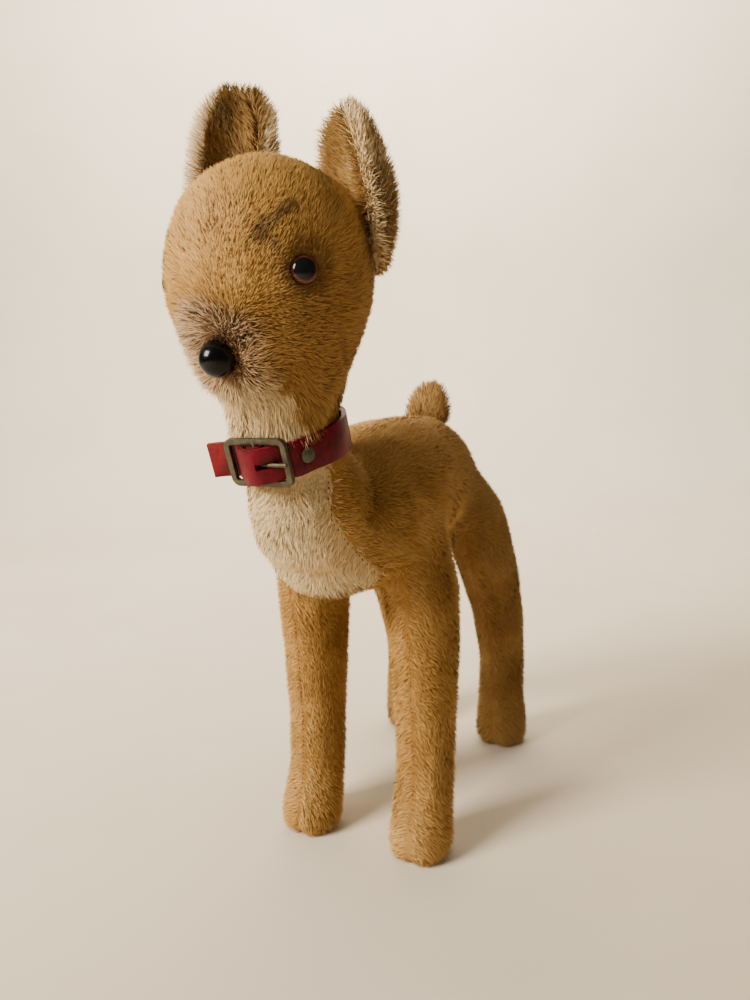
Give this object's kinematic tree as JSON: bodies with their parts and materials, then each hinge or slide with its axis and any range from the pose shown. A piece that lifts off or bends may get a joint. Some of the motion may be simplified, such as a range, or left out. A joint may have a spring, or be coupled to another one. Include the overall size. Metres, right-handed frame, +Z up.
{
  "type": "plush dog",
  "caption": "Standing vintage-style mohair dog on firm straight legs, with upright cupped ears, a short tail, a swivelling head and a red collar with a centre-bar buckle.",
  "frame": {"origin": "under the middle of the dog's bounding box, on the surface it stands on", "axes": "+Z up, the dog looks along -Y, its left side is +X"},
  "size_m": [0.077, 0.19, 0.2727],
  "materials": {
    "golden_mohair": "short dense golden-brown mohair pile, airbrushed darker round the eyes",
    "cream_mohair": "cream mohair pile, slightly longer and parted",
    "wood_wool": "packed wood wool, hidden",
    "steel_wire": "drawn wire and pressed washers, dull",
    "hardboard": "pressed board, matt",
    "brown_glass": "polished glass eye, black pupil in a reddish-brown ring",
    "black_glass": "polished black ball",
    "red_leather": "smooth glossy dyed strap, worn lighter at the cut end",
    "dark_bronze": "darkened, greenish and worn bright on the edges"
  },
  "bodies": {
    "body": {"body_side_left": "golden_mohair", "body_side_right": "golden_mohair", "chest_bib": "cream_mohair", "belly_gusset": "golden_mohair", "tail": "golden_mohair", "body_stuffing": "wood_wool", "front_leg_wire": "steel_wire", "rear_leg_wire": "steel_wire", "neck_disc_lower": "hardboard", "neck_washer_lower": "steel_wire", "neck_cotter_pin": "steel_wire"},
    "head": {"head_side_left": "golden_mohair", "head_side_right": "golden_mohair", "head_gusset": "golden_mohair", "chin_and_throat": "cream_mohair", "head_stuffing": "wood_wool", "eye_left": "brown_glass", "eye_right": "brown_glass", "nose": "black_glass", "ear_left_lining": "golden_mohair", "ear_left_back": "cream_mohair", "ear_right_lining": "golden_mohair", "ear_right_back": "cream_mohair", "neck_disc_upper": "hardboard", "neck_washer_upper": "steel_wire"},
    "collar": {"collar_strap": "red_leather", "collar_rivet": "dark_bronze"},
    "buckle": {"buckle_frame": "dark_bronze"},
    "prong": {"buckle_prong": "dark_bronze"}
  },
  "joints": [
    {"name": "neck_swivel", "type": "hinge", "parent": "body", "child": "head", "pos_m": [0.00179, -0.05505, 0.162], "axis": [0, -0.2924, 0.9563], "continuous": true},
    {"name": "collar_turn", "type": "hinge", "parent": "body", "child": "collar", "pos_m": [0.00179, -0.05505, 0.162], "axis": [0, -0.2924, 0.9563], "continuous": true},
    {"name": "buckle_rock", "type": "hinge", "parent": "collar", "child": "buckle", "pos_m": [0.00179, -0.07437, 0.15609], "axis": [0, -0.2924, 0.9563], "range_deg": [-2, 2]},
    {"name": "prong_lift", "type": "hinge", "parent": "buckle", "child": "prong", "pos_m": [0.00179, -0.07437, 0.15609], "axis": [0, 0.2924, -0.9563], "range_deg": [0, 10]}
  ]
}
